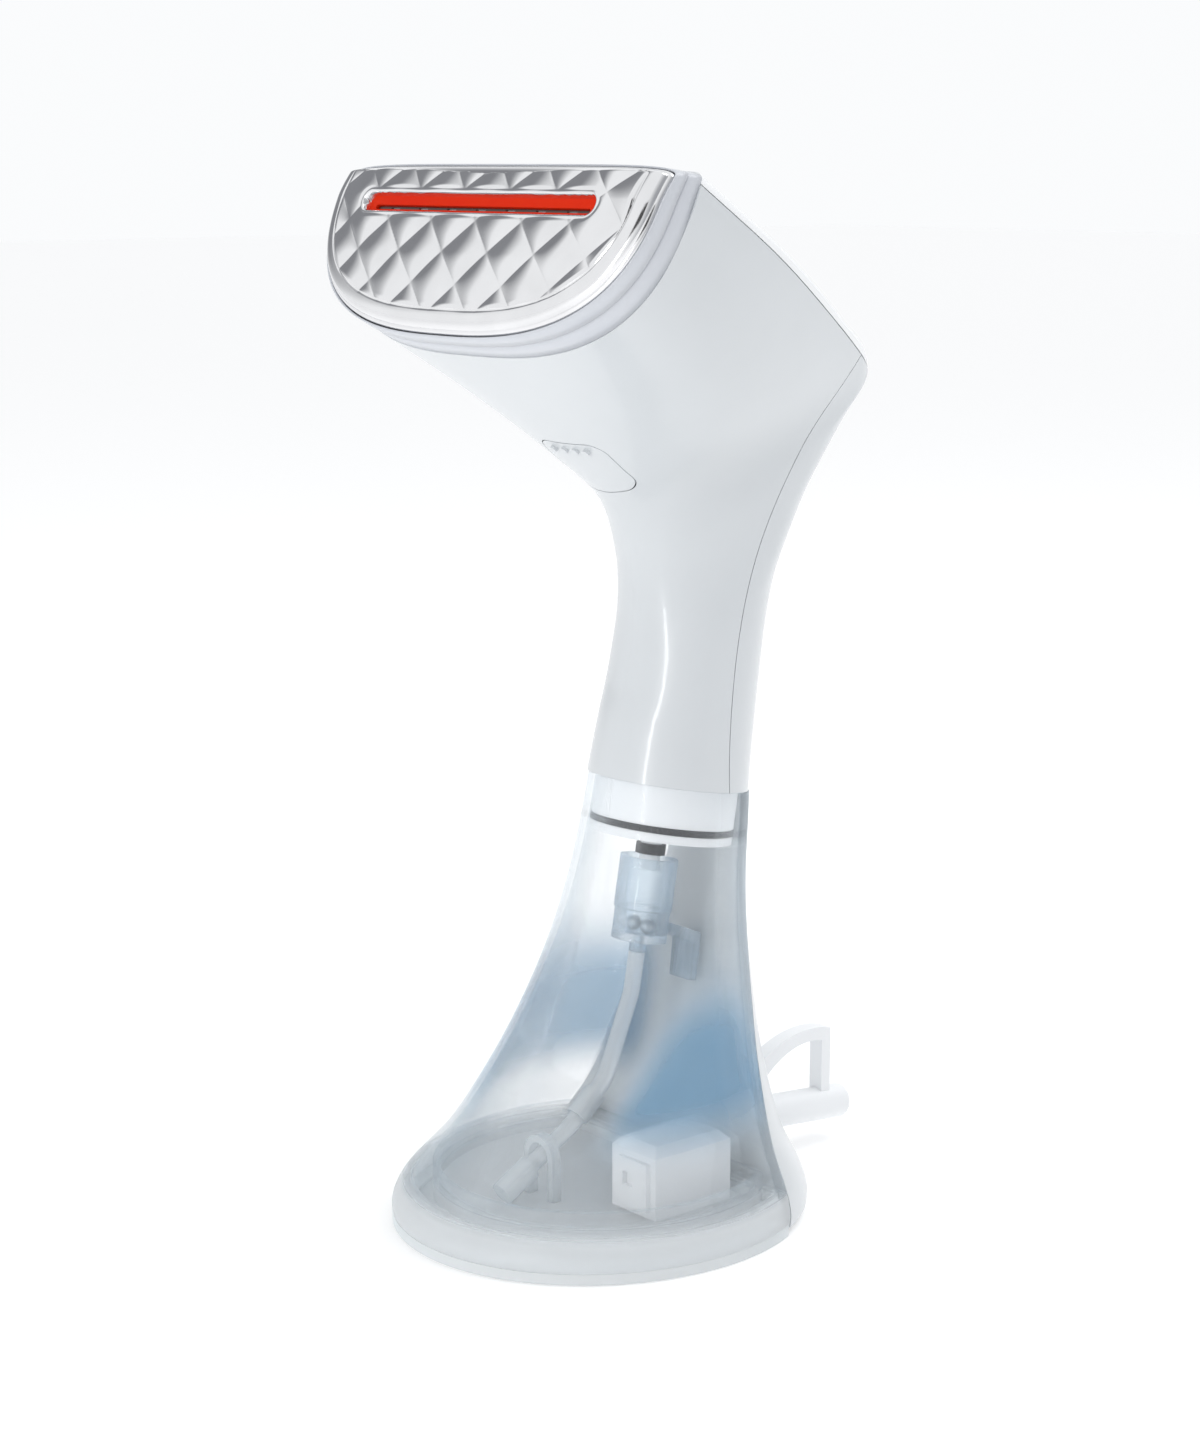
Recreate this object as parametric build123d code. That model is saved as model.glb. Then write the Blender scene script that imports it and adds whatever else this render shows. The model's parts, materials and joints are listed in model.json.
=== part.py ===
from build123d import *
import os
from math import atan2, cos, radians, sin, sqrt

# Hand-held garment steamer standing on its water tank.
# Millimetres. Z is up, the steam plate faces -Y, and the origin is the centre
# of the flat underside. Everything is mirror symmetric about X = 0.

# ---------------------------------------------------------------- dimensions
NECK_TILT = 9.8              # lean of the handle axis, back from vertical, degrees
SEAM_Y, SEAM_Z = 25.1, 122.7  # handle axis where the tank's neck meets the handle
PARTING_TOP = 18.5           # flat parting of tank and spine: distance behind the
PARTING_FOOT = 21.5          # handle axis at the seam, and PARTING_RUN lower down
PARTING_RUN = 118.0
PARTING_GAP = 0.25           # half the gap between tank and spine

# bell of the tank: height, centre y, radius
BELL = [
    (3.2, 0.0, 59.2),
    (8.0, 0.3, 58.6),
    (20.0, 3.7, 50.4),
    (33.0, 7.4, 43.4),
    (46.0, 10.7, 38.0),
    (62.0, 14.6, 32.8),
    (80.0, 18.2, 28.2),
    (100.0, 21.8, 25.1),
    (122.0, 25.2, 23.3),
    (136.0, 27.6, 22.6),
]
BELL_STRETCH = 0.04          # the base is a little longer than wide
BELL_STRETCH_TOP = 110.0     # height where the bell has become round
WALL_TANK = 2.2
WALL_BODY = 2.2

PLATE_TILT = 26.0            # lean of the steam plate, degrees
PLATE_TOP = (-34.4, 295.4)   # top edge of the plate's rim, (y, z) at X = 0
PLATE_HEIGHT = 46.6
PLATE_HALF_WIDTH = 66.6
PLATE_THICK = 2.6
PLATE_DOME = 2.2
SLOT_DROP = 12.4             # slot centre below the plate's top edge
SLOT_HALF = 49.0
SLOT_TALL = 5.4

BODY_STATIONS = 20           # cuts that the head and handle are lofted through

TRIGGER_GAP = 0.35

PLATE_UP = (sin(radians(PLATE_TILT)), cos(radians(PLATE_TILT)))
PLATE_BACK = (cos(radians(PLATE_TILT)), -sin(radians(PLATE_TILT)))
AXIS = Vector(0, sin(radians(NECK_TILT)), cos(radians(NECK_TILT)))

os.makedirs("parts", exist_ok=True)


def save(name, shape):
    """Write one node."""
    shape.label = name
    export_step(shape, "parts/" + name + ".step")


# ------------------------------------------------------------------- sections
def superellipse(angle, half_width, up, down, n_top, n_low):
    """Point (x, v) of a section that is squarer above its widest line than below."""
    c = cos(angle)
    s = sin(angle)
    n = n_top if s > 0 else n_low
    x = half_width * (abs(c) ** (2 / n)) * (1 if c > 0 else -1)
    v = (up if s > 0 else down) * (abs(s) ** (2 / n)) * (1 if s > 0 else -1)
    return x, v


def between(p, q, t):
    """Point a share t of the way from p to q."""
    return (p[0] + (q[0] - p[0]) * t, p[1] + (q[1] - p[1]) * t)


# shares of the way round a section's lower part and upper part, from the middle
# of the under side over the widest point to the middle of the top
LOWER_SHARES = [0.0, 0.2, 0.4, 0.58, 0.74, 0.88, 1.0]
UPPER_SHARES = [0.05, 0.11, 0.2, 0.36, 0.56, 0.78, 1.0]
SECTION_PACE = [s * 0.55 for s in LOWER_SHARES] + [0.55 + s * 0.45 for s in UPPER_SHARES]
QUARTER_STEPS = 180


def walk(points, shares):
    """Points at the given shares of the way along a line of points."""
    along = [0.0]
    for p, q in zip(points, points[1:]):
        along.append(along[-1] + sqrt((q[0] - p[0]) ** 2 + (q[1] - p[1]) ** 2))
    found = []
    for share in shares:
        reach = share * along[-1]
        i = max(k for k in range(len(points) - 1) if along[k] <= reach)
        found.append(between(points[i], points[i + 1], (reach - along[i]) / (along[i + 1] - along[i])))
    return found


def section_points(low, top, half_width, kappa, n_top, n_low, inset=0.0):
    """The section's +X half in the plane of X and the line low-top, both given as
    (y, z). kappa is how far up the widest line is."""
    span = sqrt((top[0] - low[0]) ** 2 + (top[1] - low[1]) ** 2)
    dy = (top[0] - low[0]) / span
    dz = (top[1] - low[1]) / span
    length = span - 2 * inset
    down = kappa * length
    up = length - down
    centre_y = low[0] + dy * (inset + down)
    centre_z = low[1] + dz * (inset + down)
    turns = [radians(90 * k / QUARTER_STEPS) for k in range(QUARTER_STEPS + 1)]
    lower = [superellipse(-a, half_width - inset, up, down, n_top, n_low) for a in reversed(turns)]
    upper = [superellipse(a, half_width - inset, up, down, n_top, n_low) for a in turns]
    pts = walk(lower, LOWER_SHARES) + walk(upper, UPPER_SHARES)
    pts[0] = (0, -down)
    pts[-1] = (0, up)
    return [Vector(x, centre_y + dy * v, centre_z + dz * v) for x, v in pts]


def section_edge(*station):
    """Curve of the section's +X half, level at both ends. All sections share their
    parameters, so that a loft through them is fair."""
    places = section_points(*station)
    first = (places[1] - places[0]).length / SECTION_PACE[1]
    last = (places[-1] - places[-2]).length / (1 - SECTION_PACE[-2])
    ends = [(first, 0, 0), (-last, 0, 0)]
    return Edge.make_spline(places, tangents=ends, parameters=SECTION_PACE, scale=False)


def half_section(*station):
    """Closed face of the section's +X half."""
    edge = section_edge(*station)
    return Face(Wire([edge, Line(edge @ 1, edge @ 0)]))


def section(*station):
    """Closed face of the whole section."""
    edge = section_edge(*station)
    return Face(Wire([edge, edge.mirror(Plane.YZ)]))


def mirrored(half):
    """Both halves of a shape that is modelled on the +X side only."""
    return half + mirror(half, about=Plane.YZ)


def plate_station(grow, depth, half_width=PLATE_HALF_WIDTH, height=PLATE_HEIGHT):
    """D-shaped outline of the plate, grown outwards and moved back from the rim."""
    top = (
        PLATE_TOP[0] + PLATE_UP[0] * grow + PLATE_BACK[0] * depth,
        PLATE_TOP[1] + PLATE_UP[1] * grow + PLATE_BACK[1] * depth,
    )
    drop = height + 2 * grow
    low = (top[0] - PLATE_UP[0] * drop, top[1] - PLATE_UP[1] * drop)
    return low, top, half_width + grow, 0.92, 5.0, 2.75


def plate_slab(grow, front, back, half_width=PLATE_HALF_WIDTH, height=PLATE_HEIGHT):
    """Straight slab with the plate's outline between two depths behind the rim."""
    face = section(*plate_station(grow, front, half_width, height))
    return extrude(face, amount=back - front, dir=(0, PLATE_BACK[0], PLATE_BACK[1]))


def plate_plane(x, drop, depth):
    """Plane on the plate: local Z points out of the steam side, local Y up the plate."""
    y = PLATE_TOP[0] - PLATE_UP[0] * drop + PLATE_BACK[0] * depth
    z = PLATE_TOP[1] - PLATE_UP[1] * drop + PLATE_BACK[1] * depth
    return Plane(origin=(x, y, z), x_dir=(1, 0, 0), z_dir=(0, -PLATE_BACK[0], -PLATE_BACK[1]))


def yz_prism(points, half_width=95.0):
    """Polygon in (y, z), extruded evenly to both sides of X = 0."""
    line = Polyline(*[(0, y, z) for y, z in points], close=True)
    return extrude(make_face(line), amount=half_width, dir=(1, 0, 0), both=True)


def axis_point(height, back=0.0):
    """(y, z) of a point a height above the seam along the handle axis, and behind it."""
    return (
        SEAM_Y + AXIS.Y * height + AXIS.Z * back,
        SEAM_Z + AXIS.Z * height - AXIS.Y * back,
    )


def axis_plane(height, back=0.0, x=0.0):
    """Plane across the handle axis, local Z up the axis, local Y to the rear."""
    y, z = axis_point(height, back)
    return Plane(origin=(x, y, z), x_dir=(1, 0, 0), z_dir=AXIS)


def tube_along(points, radius, bend):
    """Round bar through straight runs and arcs."""
    path = FilletPolyline(*points, radius=bend)
    start = path % 0
    profile = Plane(origin=path @ 0, z_dir=start) * Circle(radius)
    return sweep(profile, path=path)


# -------------------------------------------------------------- outer volumes
ELBOW = (84.0, 239.4)
HEAD_TOP = (-23.8, 294.6)
REAR_KNEE = (65.8, 205.0)
REAR_WAIST = (56.6, 180.0)


# under point, top or rear point, half width, kappa, n_top, n_low
BODY = [
    ((-44.4, 246.2), HEAD_TOP, 68.6, 0.92, 5.0, 2.9),
    ((-24.6, 231.4), between(HEAD_TOP, ELBOW, 0.33), 59.3, 0.93, 5.0, 2.65),
    ((-6.2, 215.4), between(HEAD_TOP, ELBOW, 0.68), 44.0, 0.93, 4.5, 2.45),
    ((0.6, 208.4), between(HEAD_TOP, ELBOW, 0.88), 33.6, 0.92, 4.0, 2.4),
    ((4.2, 204.0), between(HEAD_TOP, ELBOW, 0.975), 28.4, 0.86, 3.4, 2.35),
    ((8.8, 195.0), between(ELBOW, REAR_KNEE, 0.10), 26.2, 0.70, 3.0, 2.25),
    ((11.4, 183.0), between(ELBOW, REAR_KNEE, 0.55), 23.8, 0.62, 2.6, 2.1),
    ((12.0, 172.0), REAR_KNEE, 22.3, 0.56, 2.3, 2.05),
    ((9.6, 154.0), REAR_WAIST, 21.8, 0.5, 2.0, 2.0),
    (axis_point(14, -22.4), axis_point(14, 22.4), 22.4, 0.5, 2.0, 2.0),
    (axis_point(0, -23.2), axis_point(0, 23.2), 23.2, 0.5, 2.0, 2.0),
]


def pace(stations):
    """Running distance along the stations: the under and rear lines' lengths added up."""
    along = [0.0]
    for one, two in zip(stations, stations[1:]):
        under = sqrt((two[0][0] - one[0][0]) ** 2 + (two[0][1] - one[0][1]) ** 2)
        rear = sqrt((two[1][0] - one[1][0]) ** 2 + (two[1][1] - one[1][1]) ** 2)
        along.append(along[-1] + under + rear)
    return along


def slopes(xs, ys):
    """Slopes of a curve through the points that never overshoots them."""
    steps = [(ys[i + 1] - ys[i]) / (xs[i + 1] - xs[i]) for i in range(len(xs) - 1)]
    inner = [2 * p * q / (p + q) if p * q > 0 else 0.0 for p, q in zip(steps, steps[1:])]
    return [steps[0]] + inner + [steps[-1]]


def read_curve(xs, ys, x):
    """Value at x of the smooth curve through the points."""
    ms = slopes(xs, ys)
    i = max(k for k in range(len(xs) - 1) if xs[k] <= x + 1e-9)
    h = xs[i + 1] - xs[i]
    t = (x - xs[i]) / h
    rise = ys[i] * (2 * t**3 - 3 * t**2 + 1) + ys[i + 1] * (3 * t**2 - 2 * t**3)
    return rise + h * (ms[i] * (t**3 - 2 * t**2 + t) + ms[i + 1] * (t**3 - t**2))


def even_stations(stations, count):
    """The same shape cut at evenly paced stations, so that a loft through them is fair."""
    along = pace(stations)
    columns = list(zip(*[(*low, *top, *rest) for low, top, *rest in stations]))
    fair = []
    for k in range(count):
        x = along[-1] * k / (count - 1)
        v = [read_curve(along, column, x) for column in columns]
        fair.append(((v[0], v[1]), (v[2], v[3]), v[4], v[5], v[6], v[7]))
    return fair


def body_half(inset):
    """The +X half of the handle and head as one solid, inset from its skin."""
    stations = even_stations(BODY, BODY_STATIONS)
    return loft([half_section(*station, inset) for station in stations])


def bell_volume(inset, low_z):
    """The tank and spine as one bell, inset from its skin."""
    faces = []
    for index, (z, y, radius) in enumerate(BELL):
        level = low_z if index == 0 else z
        stretch = 1 + BELL_STRETCH * max(0.0, (BELL_STRETCH_TOP - z) / BELL_STRETCH_TOP)
        ring = Ellipse((radius - inset) / stretch, (radius - inset) * stretch)
        faces.append(Plane(origin=(0, y, level)) * ring)
    return loft([f.face() for f in faces])


def parting_point(height, back):
    """(y, z) of a point on the parting plane, moved back by a distance."""
    offset = PARTING_TOP + (PARTING_TOP - PARTING_FOOT) * height / PARTING_RUN
    return axis_point(height, offset + back)


def front_of_parting(gap):
    """Everything in front of the flat parting plane, less a gap."""
    low = parting_point(-150, -gap)
    high = parting_point(60, -gap)
    return yz_prism([low, high, (high[0] - 150, high[1]), (low[0] - 150, low[1])])


def behind_parting(gap):
    """Everything behind the flat parting plane, less a gap."""
    low = parting_point(-150, gap)
    high = parting_point(60, gap)
    return yz_prism([low, high, (high[0] + 150, high[1]), (low[0] + 150, low[1])])


def below_seam(gap):
    """Everything below the seam plane of the neck, less a gap."""
    front = axis_point(-gap, -120)
    rear = axis_point(-gap, 120)
    return yz_prism([front, rear, (rear[0], -20), (front[0], -20)])


half_outer = body_half(0.0)
half_shell = half_outer - body_half(WALL_BODY)
bell_outer = bell_volume(0.0, BELL[0][0])
bell_inner = bell_volume(WALL_TANK, BELL[0][0] - 2.0)


# ----------------------------------------------------------------- head shells
COVER_EDGE = 4.2             # height of the top cover's side edge
SHELL_GAP = 0.15             # half the seam gap between housing pieces
TOP_SLOPE = atan2(HEAD_TOP[1] - ELBOW[1], ELBOW[0] - HEAD_TOP[0])


def top_zone(gap):
    """The space of the top cover: above a line just under the head's top, past the elbow."""
    along = (cos(TOP_SLOPE), -sin(TOP_SLOPE))
    under = (-sin(TOP_SLOPE), -cos(TOP_SLOPE))
    drop = COVER_EDGE + gap
    front = (
        HEAD_TOP[0] - along[0] * 30 + under[0] * drop,
        HEAD_TOP[1] - along[1] * 30 + under[1] * drop,
    )
    reach = 112 + gap
    rear = (
        HEAD_TOP[0] + along[0] * reach + under[0] * drop,
        HEAD_TOP[1] + along[1] * reach + under[1] * drop,
    )
    behind = rear[0] + 30
    return yz_prism([front, rear, (behind, rear[1] - 8), (behind, 330), (front[0], 330)])


def rear_zone(gap):
    """The space of the rear cover: behind the seam that runs down the handle's flank."""
    seam = Spline(
        (0, 68 + gap, 248),
        (0, 60.5 + gap, 231),
        (0, 50 + gap, 215),
        (0, 41.5 + gap, 197),
        (0, 35.5 + gap, 180),
        (0, 31.2 + gap, 160),
        (0, 28.8 + gap, 140),
        (0, 28 + gap, 112),
    )
    outside = Polyline((0, 28 + gap, 112), (0, 110, 112), (0, 110, 248), (0, 68 + gap, 248))
    return extrude(make_face([seam, outside]), amount=95, dir=(1, 0, 0), both=True)


TRIGGER_MID = (-5.2, 214.4)
TRIGGER_IN = (sin(radians(45)), cos(radians(45)))
TRIGGER_WIDE, TRIGGER_TALL, TRIGGER_ROUND = 26.0, 20.0, 5.0
TRIGGER_FLANGE = 1.4
FLANGE_FRONT, FLANGE_BACK = 5.6, 7.0
STEM_END = 15.0


def trigger_plane(depth, x=0.0, up=0.0):
    """Plane on the trigger: local Z points into the handle."""
    y = TRIGGER_MID[0] + TRIGGER_IN[0] * depth - TRIGGER_IN[1] * up
    z = TRIGGER_MID[1] + TRIGGER_IN[1] * depth + TRIGGER_IN[0] * up
    return Plane(origin=(x, y, z), x_dir=(1, 0, 0), z_dir=(0, TRIGGER_IN[0], TRIGGER_IN[1]))


def trigger_block(grow, front, back):
    """Rounded block in line with the trigger, between two depths."""
    face = RectangleRounded(TRIGGER_WIDE + 2 * grow, TRIGGER_TALL + 2 * grow, TRIGGER_ROUND + grow)
    return extrude(trigger_plane(front) * face, amount=back - front)


NOTCH_WIDE = 8.0
wire_notch = axis_plane(8, 20.6) * Box(NOTCH_WIDE, 2.6, 20)

trigger_hole = trigger_block(TRIGGER_GAP, -8, 8)
half_rear = (half_shell & rear_zone(SHELL_GAP)) - top_zone(SHELL_GAP) - wire_notch
half_front = half_shell - top_zone(SHELL_GAP) - rear_zone(-SHELL_GAP) - trigger_hole
save("top_cover", mirrored(half_shell & top_zone(-SHELL_GAP)))
save("rear_cover", mirrored(half_rear))
save("front_housing", mirrored(half_front))

trigger_cap = mirrored(half_outer & trigger_block(0, -8, FLANGE_FRONT))
trigger_flange = trigger_block(TRIGGER_FLANGE, FLANGE_FRONT, FLANGE_BACK)
trigger_stem = extrude(trigger_plane(FLANGE_BACK) * Circle(2.4), amount=STEM_END - FLANGE_BACK)
RIB_COUNT = 4
ribs = [
    trigger_plane(1.6, x=(k - (RIB_COUNT - 1) / 2) * 4.6, up=7.4) * Cylinder(1.1, 5.4)
    for k in range(RIB_COUNT)
]
trigger = trigger_cap + trigger_flange + trigger_stem
for rib in ribs:
    trigger += rib
save("trigger", trigger)

spring_path = Helix(pitch=1.9, height=6.6, radius=4.0)
spring_end = Plane(origin=spring_path @ 0, z_dir=spring_path % 0)
spring_wire = sweep(spring_end * Circle(0.4), path=spring_path)
save("trigger_spring", trigger_plane(FLANGE_BACK + 0.6) * spring_wire)
bracket = trigger_plane(15.6) * Box(24, 13, 1.4)
bracket -= trigger_plane(15.6) * Cylinder(2.8, 4)
save("switch_bracket", bracket)
plunger = trigger_plane(STEM_END + 0.1 + 2.2) * Cylinder(2.0, 4.4)
plunger += trigger_plane(STEM_END + 0.1 + 6.4) * Cylinder(1.3, 4.0)
save("switch_plunger", plunger)
switch = trigger_plane(29.0) * Box(17.6, 10.6, 12)
switch -= trigger_plane(24.6) * Cylinder(1.5, 7.4)
save("microswitch", switch)


# ------------------------------------------------------------- plate and bezel
GASKET_GROW = 0.8
BEZEL_GROW = 1.0
bezel = mirrored(loft([half_section(*plate_station(BEZEL_GROW, 0.8)), half_section(*BODY[0])]))
bezel = bezel - plate_slab(GASKET_GROW + 0.05, -3, 3.6) - plate_slab(-2.5, 3, 14)
save("plate_bezel", bezel)

gasket = plate_slab(GASKET_GROW, 1.0, 3.55) - plate_slab(0.08, 0.5, 4)
save("plate_gasket", gasket)

plate = plate_slab(0, 0, PLATE_THICK)
DOME_STEPS = [(-2.2, 0.0), (-7.0, 0.7), (-15.0, 1.0)]
for (grow, rise), (next_grow, next_rise) in zip(DOME_STEPS, DOME_STEPS[1:]):
    foot = section(*plate_station(grow, -PLATE_DOME * rise))
    plate += loft([foot, section(*plate_station(next_grow, -PLATE_DOME * next_rise))])
slot_cut = extrude(
    plate_plane(0, SLOT_DROP, -6) * SlotOverall(2 * SLOT_HALF, SLOT_TALL), amount=-12
)
save("steam_plate", plate - slot_cut)

seal_face = SlotOverall(2 * SLOT_HALF - 0.2, SLOT_TALL - 0.2)
seal = extrude(plate_plane(0, SLOT_DROP, -1.5) * seal_face, amount=-4.0)
SLIT_DROP = SLOT_DROP + 0.8
slit_face = SlotOverall(2 * SLOT_HALF - 7, 1.3)
save("slot_seal", seal - extrude(plate_plane(0, SLIT_DROP, -4) * slit_face, amount=-8))
strip_face = SlotOverall(2 * SLOT_HALF - 7.4, 1.0)
slit_strip = extrude(plate_plane(0, SLIT_DROP, -0.6) * strip_face, amount=-3.0)
PORTS = 7
PORT_PITCH = 12.5
for k in range(PORTS):
    port_x = (k - (PORTS - 1) / 2) * PORT_PITCH
    slit_strip -= plate_plane(port_x, SLIT_DROP, 1) * Box(4, 0.4, 8)
save("slit_strip", slit_strip)

BLOCK_BACK, LID_BACK = 13.0, 15.6
INLET_X, INLET_DROP = -24, 22
SCREW_SPOTS = [(-46, 10), (0, 5.5), (46, 10), (-44, 31), (44, 31), (0, 40)]
block = plate_slab(-5.0, PLATE_THICK + 0.1, BLOCK_BACK) - plate_slab(-12.5, 7.5, BLOCK_BACK + 1)
lid = plate_slab(-6.0, BLOCK_BACK + 0.05, LID_BACK)
lid += plate_plane(INLET_X, INLET_DROP, LID_BACK + 4) * Cylinder(3.4, 8)
lid -= plate_plane(INLET_X, INLET_DROP, LID_BACK) * Cylinder(1.8, 20)
screws = []
for x, drop in SCREW_SPOTS:
    lid -= plate_plane(x, drop, LID_BACK) * Cylinder(1.7, 20)
    block -= plate_plane(x, drop, BLOCK_BACK) * Cylinder(1.7, 12)
    screw = plate_plane(x, drop, LID_BACK + 1.15) * Cylinder(3.0, 2.2)
    screw += plate_plane(x, drop, LID_BACK - 3.0) * Cylinder(1.55, 7)
    screws.append(screw)
save("boiler_block", block)
save("boiler_lid", lid)
save("boiler_screws", Compound(screws))

ELEMENT_R = 3.2
ELEMENT_HALF = [(30, 8), (40, 22), (26, 33)]
ELEMENT_DEPTH = LID_BACK + 0.3 + ELEMENT_R
element_line = [(-x, drop) for x, drop in ELEMENT_HALF] + ELEMENT_HALF[::-1]
element_points = [plate_plane(x, drop, ELEMENT_DEPTH).origin for x, drop in element_line]
terminal_left = plate_plane(-30, 8, ELEMENT_DEPTH + 8).origin
terminal_right = plate_plane(30, 8, ELEMENT_DEPTH + 8).origin
save("heating_element", tube_along([terminal_left, *element_points, terminal_right], ELEMENT_R, 5.0))
thermostat = plate_plane(12, 18, LID_BACK + 2.2) * Cylinder(8.0, 4.2)
thermostat += plate_plane(12, 18, LID_BACK + 5.6) * Cylinder(4.0, 2.6)
save("thermostat", thermostat)
fuse_plane = Plane(plate_plane(-8, 12, LID_BACK + 2.4).origin, x_dir=(0, 1, 0), z_dir=(1, 0, 0))
save("thermal_fuse", fuse_plane * Cylinder(2.0, 11))
shield = plate_slab(0, LID_BACK + 12.5, LID_BACK + 13.5, 46, 30)
SHIELD_DROP = 8.0
shield = Pos(0, -PLATE_UP[0] * SHIELD_DROP, -PLATE_UP[1] * SHIELD_DROP) * shield
for x, drop in [(INLET_X, INLET_DROP), (-30, 8), (30, 8)]:
    shield -= plate_plane(x, drop, LID_BACK + 12) * Cylinder(5, 14)
save("heat_shield", shield)

# ------------------------------------------------------------ pump in the neck
YOKE, YOKE_TALL, YOKE_PLATE = 23.0, 26.0, 1.6
PUMP_LOW = 18.0
yoke_mid = axis_plane(PUMP_LOW + YOKE_TALL / 2)
yoke = yoke_mid * Box(YOKE, YOKE - 4, YOKE_TALL)
yoke -= yoke_mid * Box(YOKE - 2 * YOKE_PLATE, YOKE, YOKE_TALL - 2 * YOKE_PLATE)
yoke -= yoke_mid * Cylinder(5.5, YOKE_TALL + 2)
save("pump_yoke", yoke)
coil = yoke_mid * (Cylinder(9.4, YOKE_TALL - 2 * YOKE_PLATE - 0.2) - Cylinder(5.5, YOKE_TALL))
save("pump_coil", coil)
PISTON_R, TUBE_BORE, TUBE_R = 4.1, 4.17, 5.4
core = axis_plane(PUMP_LOW + 14) * Cylinder(TUBE_R, 44)
core += axis_plane(PUMP_LOW - 11) * Cylinder(2.2, 6)
core += axis_plane(PUMP_LOW + 39) * Cylinder(2.2, 6)
core -= axis_plane(PUMP_LOW + 14) * Cylinder(TUBE_BORE, 40)
core -= axis_plane(PUMP_LOW + 14) * Cylinder(1.2, 60)
save("pump_tube", core)
piston = axis_plane(PUMP_LOW + 12) * (Cylinder(PISTON_R, 18) - Cylinder(1.4, 20))
save("pump_piston", piston)
grommets = [
    axis_plane(PUMP_LOW + h) * (Cylinder(9.0, 3.0) - Cylinder(TUBE_R + 0.02, 4))
    for h in (-3.2, YOKE_TALL + 3.2)
]
save("pump_grommets", Compound(grommets))

hose_line = [axis_plane(*spot).origin for spot in ((-13.5, -3.0), (-4.5, -3.0), (1.0, 0.0), (9.0, 0.0))]
save("inlet_hose", tube_along(hose_line, 3.4, 5.0) - tube_along(hose_line, 2.3, 5.0))
outlet_start = axis_plane(PUMP_LOW + 42.3).origin
outlet_rise = axis_plane(PUMP_LOW + 62).origin
nozzle = plate_plane(INLET_X, INLET_DROP, LID_BACK + 8.3).origin
nozzle_back = plate_plane(INLET_X, INLET_DROP, LID_BACK + 30).origin
save("outlet_hose", tube_along([outlet_start, outlet_rise, nozzle_back, nozzle], 2.6, 9.0))

terminal = Pos(10, 52, 236) * Box(22, 10, 9)
save("terminal_block", terminal)

# ---------------------------------------------------- spigot and suction nipple
SPIGOT_DEEP = 16.0
SPIGOT_R = 20.5
SPIGOT_FLAT = PARTING_TOP - PARTING_GAP - WALL_TANK - 0.4


def neck_plug(radius, flat, low, high):
    """D-shaped plug in line with the neck, between two heights on its axis."""
    plug = axis_plane((low + high) / 2) * Cylinder(radius, high - low)
    return plug & yz_prism([
        axis_point(low - 1, -60), axis_point(low - 1, flat),
        axis_point(high + 1, flat), axis_point(high + 1, -60),
    ])


NIPPLE_BACK = -3.0
NIPPLE_R = 3.0
spigot = neck_plug(SPIGOT_R, SPIGOT_FLAT, -SPIGOT_DEEP, 0.1) + neck_plug(20.0, 18.8, 0, 4)
spigot -= neck_plug(SPIGOT_R - 2, SPIGOT_FLAT - 2, -SPIGOT_DEEP + 2, 5)
spigot -= neck_plug(SPIGOT_R + 1, SPIGOT_FLAT + 1, -13.5, -11.5) - neck_plug(
    SPIGOT_R - 1, SPIGOT_FLAT - 1, -14, -11
)
nipple = axis_plane(-SPIGOT_DEEP - 5, NIPPLE_BACK) * Cylinder(NIPPLE_R, 10)
nipple += axis_plane(-SPIGOT_DEEP + 5, NIPPLE_BACK) * Cylinder(2.2, 10)
nipple -= axis_plane(-SPIGOT_DEEP, NIPPLE_BACK) * Cylinder(1.2, 30)
spigot -= axis_plane(-SPIGOT_DEEP, NIPPLE_BACK) * Cylinder(2.25, 12)
save("neck_spigot", spigot)
save("suction_nipple", nipple)
seal_ring = neck_plug(SPIGOT_R + 0.25, SPIGOT_FLAT + 0.25, -13.4, -11.6) - neck_plug(
    SPIGOT_R - 0.95, SPIGOT_FLAT - 0.95, -14, -11
)
save("neck_seal", seal_ring)
nipple_ring = axis_plane(-SPIGOT_DEEP - 4, NIPPLE_BACK) * (
    Cylinder(4.3, 3.0) - Cylinder(NIPPLE_R + 0.02, 4)
)
save("nipple_seal", nipple_ring)

# ------------------------------------------------------------------------ tank
tank = (bell_outer & below_seam(0.1)) & front_of_parting(PARTING_GAP)
tank -= bell_inner & front_of_parting(PARTING_GAP + WALL_TANK)
save("tank_shell", tank)

RING_X, RING_Y = 56.9, 61.6
base_disc = extrude(Ellipse(RING_X, RING_Y), amount=3.1)
base_hole = extrude(Ellipse(RING_X - 6, RING_Y - 6), amount=3.1)
front_half = front_of_parting(PARTING_GAP)
base_ring = (base_disc - base_hole) & front_half
save("base_ring", base_ring)
base_plate = extrude(Ellipse(RING_X - 6.1, RING_Y - 6.1), amount=2.4) & front_half
save("base_plate", base_plate)
FLOOR_X, FLOOR_Y, FLOOR_LOW, FLOOR_TOP = 47.2, 50.4, 6.0, 16.0
floor = extrude(Pos(0, 1.2, FLOOR_LOW) * Ellipse(FLOOR_X, FLOOR_Y), amount=FLOOR_TOP - FLOOR_LOW)
floor &= front_of_parting(PARTING_GAP + WALL_TANK + 0.2)
scoop = extrude(
    Pos(0, 1.2, FLOOR_LOW + 2.2) * Ellipse(FLOOR_X - 1.8, FLOOR_Y - 1.8), amount=30
)
scoop &= front_of_parting(PARTING_GAP + WALL_TANK + 2.0)
save("tank_floor", floor - scoop)
floor_top = FLOOR_LOW + 2.2

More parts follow.
